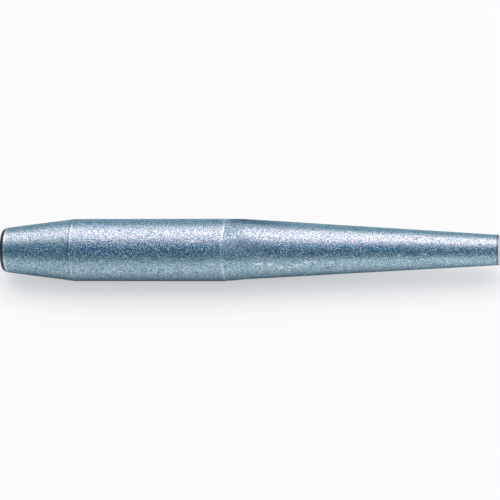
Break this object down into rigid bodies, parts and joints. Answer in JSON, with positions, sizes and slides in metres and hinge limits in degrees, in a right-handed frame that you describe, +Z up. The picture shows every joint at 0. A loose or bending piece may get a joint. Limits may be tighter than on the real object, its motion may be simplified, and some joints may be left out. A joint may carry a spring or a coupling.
{
  "type": "line-up punch",
  "caption": "Solid steel line-up punch with a bevelled struck head, a straight barrel and a long taper to a blunt tip, driven through bolt holes to draw steelwork into line.",
  "frame": {"origin": "on the ground the punch lies on, under the middle of its length", "axes": "+X along the punch from the struck face to the tip, +Z up, +Y to its left"},
  "size_m": [0.176, 0.022, 0.0219],
  "materials": {
    "bare_steel": "satin turned and rolled steel, blue-grey, lightly pitted on the barrel"
  },
  "bodies": {
    "root": {"punch_body": "bare_steel"}
  },
  "joints": []
}
